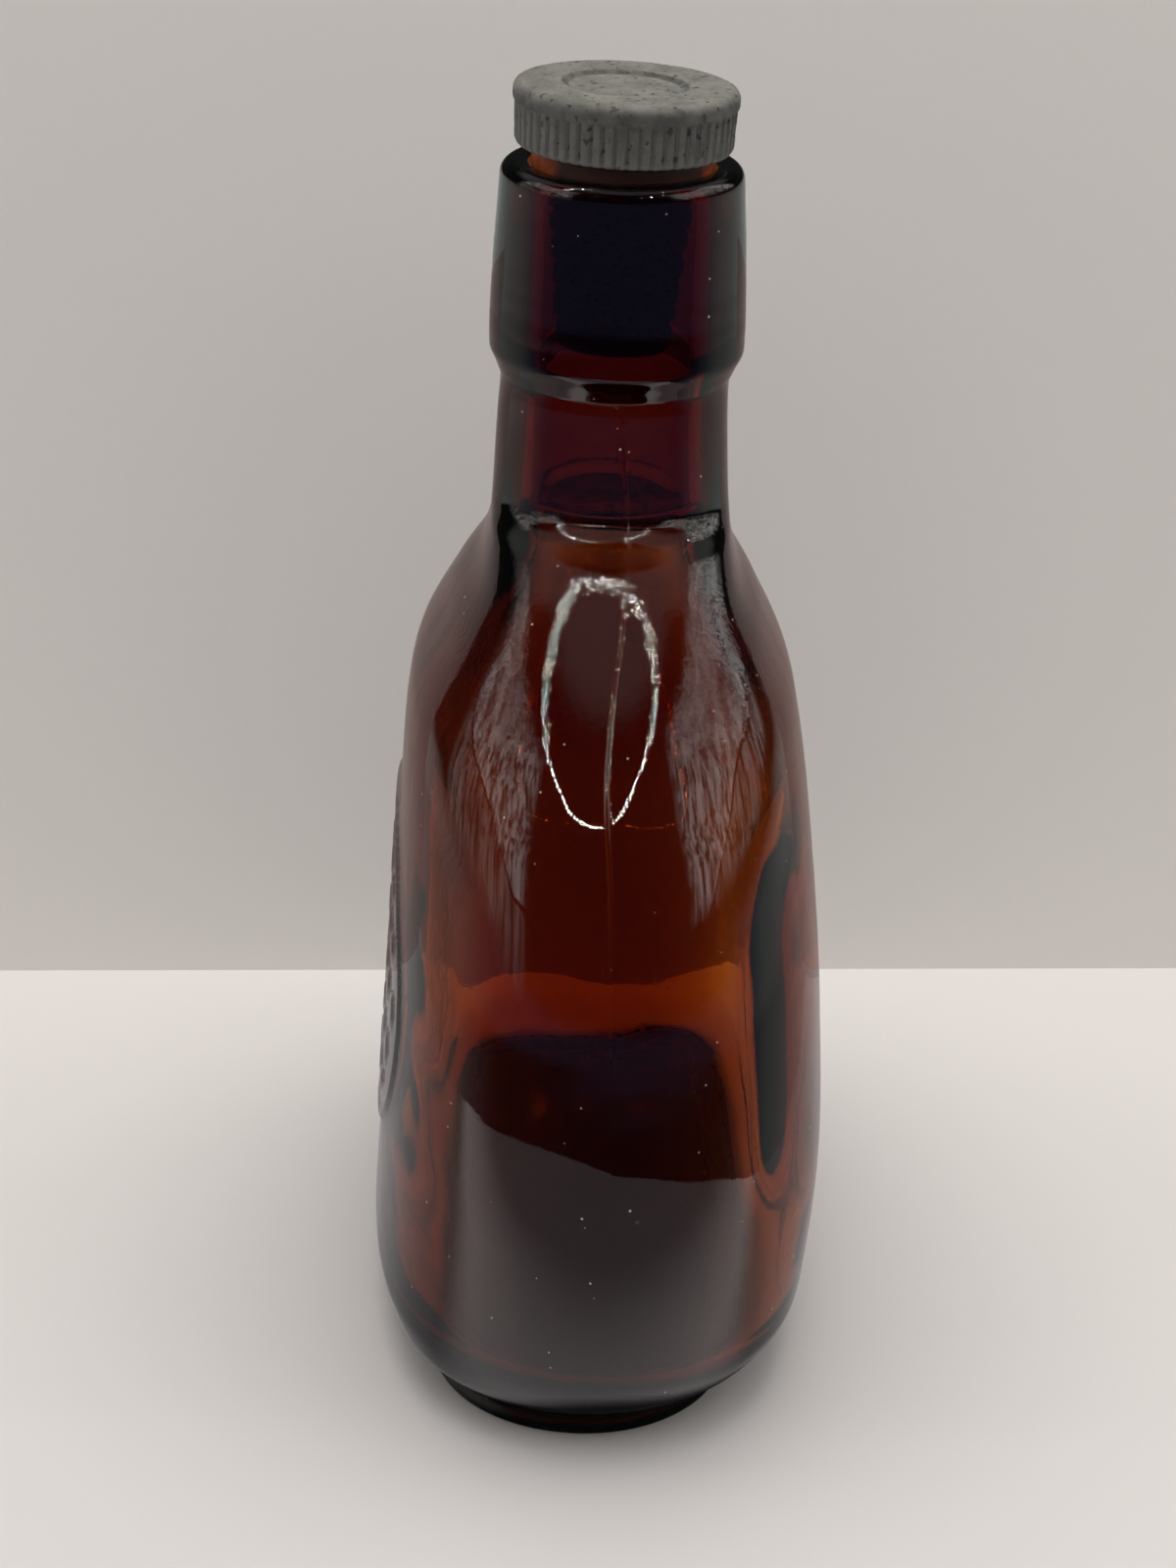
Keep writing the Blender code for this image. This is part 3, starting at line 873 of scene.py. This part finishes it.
def make_stage():
    """The floor and backdrop that are seen, and the smaller ones that the glass mirrors."""
    paper, _, _ = paper_material("pale paper", (0.80, 0.775, 0.76))
    far = FLOOR_REACH
    make_plane("floor", ((-far, -far, 0), (far, -far, 0), (far, far, 0), (-far, far, 0)), paper, False)
    centre_x, centre_y = SHEET_CENTRE
    outline = [(BACKDROP_X, centre_y - SHEET_HALF_WIDTH, SHEET_LIFT)]
    for step in range(25):
        turn = math.pi * (step / 24 - 0.5)
        x = centre_x + SHEET_LENGTH * math.cos(turn)
        y = centre_y + SHEET_HALF_WIDTH * math.sin(turn)
        outline.append((x, y, SHEET_LIFT))
    outline.append((BACKDROP_X, centre_y + SHEET_HALF_WIDTH, SHEET_LIFT))
    # This sheet glows with painted light and holds painted shadows; only reflections in the glass see
    # it.
    sheet = make_plane("floor_sheet", outline, sheet_material(), True)
    sheet.visible_transmission = False
    backdrop = backdrop_material()
    seen = make_plane("backdrop", backdrop_corners(BACKDROP_REACH, BACKDROP_HEIGHT), backdrop, False)
    seen.visible_transmission = False
    seen.visible_shadow = False
    mirrored = backdrop_corners(SHEET_HALF_WIDTH, BACKDROP_SHEET_HEIGHT)
    make_plane("backdrop_sheet", mirrored, backdrop, True)


def lamp_material(name, colour):
    """A glow that is only seen where a ray meets it, which keeps the render quick."""
    material, tree, shader = new_material(name)
    tree.set(shader, "Base Color", (0.0, 0.0, 0.0, 1.0))
    tree.set(shader, "Emission Color", (*colour, 1.0))
    tree.set(shader, "Emission Strength", LAMP_GLOW)
    material.cycles.emission_sampling = "NONE"
    return material


def make_lamps():
    """A ring of small lamps above the flask, towards the camera: warm, white and cool."""
    data = bpy.data.meshes.new("ring_lamps")
    for name, colour in LAMP_COLOURS:
        data.materials.append(lamp_material(name + " lamp", colour))
    mesh = bmesh.new()
    centre = Vector(LAMP_RING_CENTRE) * MM
    for index, angle in enumerate(even_angles(LAMP_COUNT)):
        offset = Vector((math.cos(angle), math.sin(angle), 0.0)) * LAMP_RING_RADIUS * MM
        place = Matrix.Translation(centre + offset)
        old = len(mesh.faces)
        bmesh.ops.create_icosphere(mesh, subdivisions=2, radius=LAMP_RADIUS * MM, matrix=place)
        mesh.faces.ensure_lookup_table()
        for face in mesh.faces[old:]:
            face.material_index = (index * index) % 3
    mesh.to_mesh(data)
    mesh.free()
    lamps = bpy.data.objects.new("ring_lamps", data)
    lamps.visible_camera = False
    lamps.visible_diffuse = False
    lamps.visible_shadow = False
    bpy.context.scene.collection.objects.link(lamps)


def make_soft_box():
    """A broad lamp overhead that lights the paper and the stopper and isn't seen in the glass."""
    data = bpy.data.lights.new("soft box", "AREA")
    data.shape = "SQUARE"
    data.size = SOFT_BOX_SIZE * MM
    data.energy = SOFT_BOX_POWER
    data.color = (1.0, 0.975, 0.95)
    lamp = bpy.data.objects.new("soft_box", data)
    lamp.location = Vector(SOFT_BOX_PLACE) * MM
    lamp.visible_camera = False
    lamp.visible_glossy = False
    lamp.visible_transmission = False
    bpy.context.scene.collection.objects.link(lamp)


def side_panel(tree, turn, rise, streaks, edges, line, levels):
    """A bright side wall of the studio, in two parts that meet in a thin dark line."""
    (start, end), (low, high) = edges
    inside = tree.math("MULTIPLY", tree.band(turn, start, end, 4.0), tree.band(rise, low, high, 3.0))
    above_line = tree.math("SUBTRACT", rise, line)
    lower, upper = levels
    level = tree.ramp(above_line, -0.3, 0.3, lower, upper)
    gap = tree.ramp(tree.math("ABSOLUTE", above_line), 0.25, 0.7)
    level = tree.math("MULTIPLY", tree.math("MULTIPLY", level, gap), streaks)
    return tree.math("MULTIPLY", inside, level)


def bright_walls(tree, turn, rise, streaks):
    """Strength of the two bright side walls and the grey ceiling."""
    left_line = tree.ramp(turn, -79.0, -58.0, 20.0, 4.0)
    right_line = tree.math(
        "SUBTRACT", tree.ramp(turn, 58.0, 88.0, 3.0, 19.0), tree.ramp(turn, 95.0, 128.0, 0.0, 10.0)
    )
    left = side_panel(
        tree, turn, rise, streaks, ((-112.0, -51.0), (-3.0, 44.0)), left_line, (0.5, 1.3)
    )
    right = side_panel(
        tree, turn, rise, streaks, ((52.0, 126.0), (5.0, 48.0)), right_line, (0.7, 1.4)
    )
    ceiling_edge = tree.ramp(tree.math("ABSOLUTE", turn), 95.0, 115.0, 62.0, 32.0)
    ceiling = tree.ramp(tree.math("SUBTRACT", rise, ceiling_edge), -6.0, 6.0, 0.0, 0.30)
    return tree.math("ADD", tree.math("ADD", left, right), ceiling)


def dark_room(tree, turn, rise):
    """The dark blue room in front, greyer and hazy to the sides."""
    low_down = tree.math("MULTIPLY_ADD", tree.band(rise, -14.0, -3.0, 2.0), 0.15, 0.03)
    sideways = tree.ramp(tree.math("ABSOLUTE", turn), 62.0, 105.0)
    haze = tree.math("MULTIPLY", sideways, tree.ramp(rise, -9.0, 0.0, 0.36, 0.0))
    colour = tree.mix(sideways, (0.27, 0.4, 0.85, 1.0), (0.75, 0.78, 0.74, 1.0))
    strength = tree.math("ADD", low_down, haze)
    return tree.add("ShaderNodeBackground", Color=colour, Strength=strength)


def soft_dome(tree, turn, rise):
    """The even light that falls on everything matt, weaker from low in front."""
    dark_front = tree.band(turn, -85.0, 85.0, 12.0)
    missing = tree.math("MULTIPLY", dark_front, tree.ramp(rise, 20.0, 50.0, 0.9, 0.0))
    strength = tree.math("MULTIPLY", tree.math("SUBTRACT", 1.0, missing), DOME_STRENGTH)
    dome = tree.nodes["Background"]
    tree.set(dome, "Color", (0.60, 0.585, 0.575, 1.0))
    tree.set(dome, "Strength", strength)
    return dome


def make_world():
    """The studio round the stage: one for what glass mirrors, one for matt things, one as seen."""
    world = bpy.data.worlds.new("studio")
    bpy.context.scene.world = world
    tree = NodeTree(world)
    direction = tree.add("ShaderNodeTexCoord").outputs["Generated"]
    x, y, z = tree.add("ShaderNodeSeparateXYZ", Vector=direction).outputs
    rise = tree.math("MULTIPLY", tree.math("ARCSINE", z), math.degrees(1.0))
    turn = tree.math("MULTIPLY", tree.math("ARCTAN2", y, x), math.degrees(1.0))
    folds = tree.noise(tree.stretched(direction, (30.0, 30.0, 3.0)), 1.0, 4.0, 0.6, 0.4)
    streaks = tree.ramp(folds, 0.36, 0.66, 0.1, 1.7)
    shade = bright_walls(tree, turn, rise, streaks)
    walls = tree.add("ShaderNodeBackground", Color=(1.0, 0.965, 0.93, 1.0), Strength=shade)
    mirrored = tree.add("ShaderNodeAddShader")
    tree.set(mirrored, 0, dark_room(tree, turn, rise).outputs["Background"])
    tree.set(mirrored, 1, walls.outputs["Background"])
    plain = tree.add("ShaderNodeBackground", Color=(0.60, 0.575, 0.55, 1.0), Strength=1.0)
    rays = tree.add("ShaderNodeLightPath").outputs
    lit = tree.add("ShaderNodeMixShader")
    tree.set(lit, 0, rays["Is Diffuse Ray"])
    tree.set(lit, 1, mirrored.outputs["Shader"])
    tree.set(lit, 2, soft_dome(tree, turn, rise).outputs["Background"])
    seen = tree.add("ShaderNodeMixShader")
    tree.set(seen, 0, rays["Is Camera Ray"])
    tree.set(seen, 1, lit.outputs["Shader"])
    tree.set(seen, 2, plain.outputs["Background"])
    tree.set(tree.nodes["World Output"], "Surface", seen.outputs["Shader"])


def make_camera():
    """The photograph's own viewpoint, above the narrow side of the flask."""
    forward_level = Vector((-math.cos(CAMERA_YAW), math.sin(CAMERA_YAW), 0.0))
    right = Vector((math.sin(CAMERA_YAW), math.cos(CAMERA_YAW), 0.0))
    forward = forward_level * math.cos(CAMERA_PITCH) - Vector((0, 0, 1)) * math.sin(CAMERA_PITCH)
    up = right.cross(forward)
    across = right * math.cos(CAMERA_ROLL) + up * math.sin(CAMERA_ROLL)
    upright = up * math.cos(CAMERA_ROLL) - right * math.sin(CAMERA_ROLL)
    place = right * -CAMERA_PAN - forward_level * CAMERA_DISTANCE + Vector((0, 0, CAMERA_HEIGHT))
    matrix = Matrix((across, upright, -forward)).transposed().to_4x4()
    matrix.translation = place * MM
    data = bpy.data.cameras.new("camera")
    data.lens = CAMERA_LENS
    data.sensor_width = 36.0
    data.clip_start = 0.01
    camera = bpy.data.objects.new("camera", data)
    camera.matrix_world = matrix
    bpy.context.scene.collection.objects.link(camera)
    bpy.context.scene.camera = camera


def mouth_place():
    """Matrix of the middle of the lip, where what closes the mouth leans a little."""
    middle = curve_value(MIDDLE_LINE, LIP_HEIGHT)
    return Matrix.Translation(Vector((0.0, middle, LIP_HEIGHT)) * MM) @ Matrix.Rotation(
        STOPPER_TILT, 4, "X"
    )


def dress_node(node, rings, material, place=None, is_loop=False):
    """Puts a detailed piece in the place of a CAD node."""
    piece = piece_of_rings(node + "_piece", rings, material, place, is_loop)
    keep_inside(piece, node)
    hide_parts(node)
    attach(piece, "root")


def set_colours():
    """Plain view transform, and enough bounces for light to pass through all the glass."""
    scene = bpy.context.scene
    scene.view_settings.view_transform = "Standard"
    scene.cycles.max_bounces = 14
    scene.cycles.transmission_bounces = 14
    scene.cycles.glossy_bounces = 8
    scene.cycles.caustics_refractive = False
    scene.cycles.caustics_reflective = False


make_camera()
make_stage()
make_lamps()
make_soft_box()
make_world()
dress_node("bottle", bottle_rings(), glass_material())
dress_node("stopper", stopper_rings(), hard_rubber_material(), mouth_place())
dress_node(
    "rubber_ring", rubber_rings(), orange_rubber_material(), mouth_place(), True
)
set_colours()
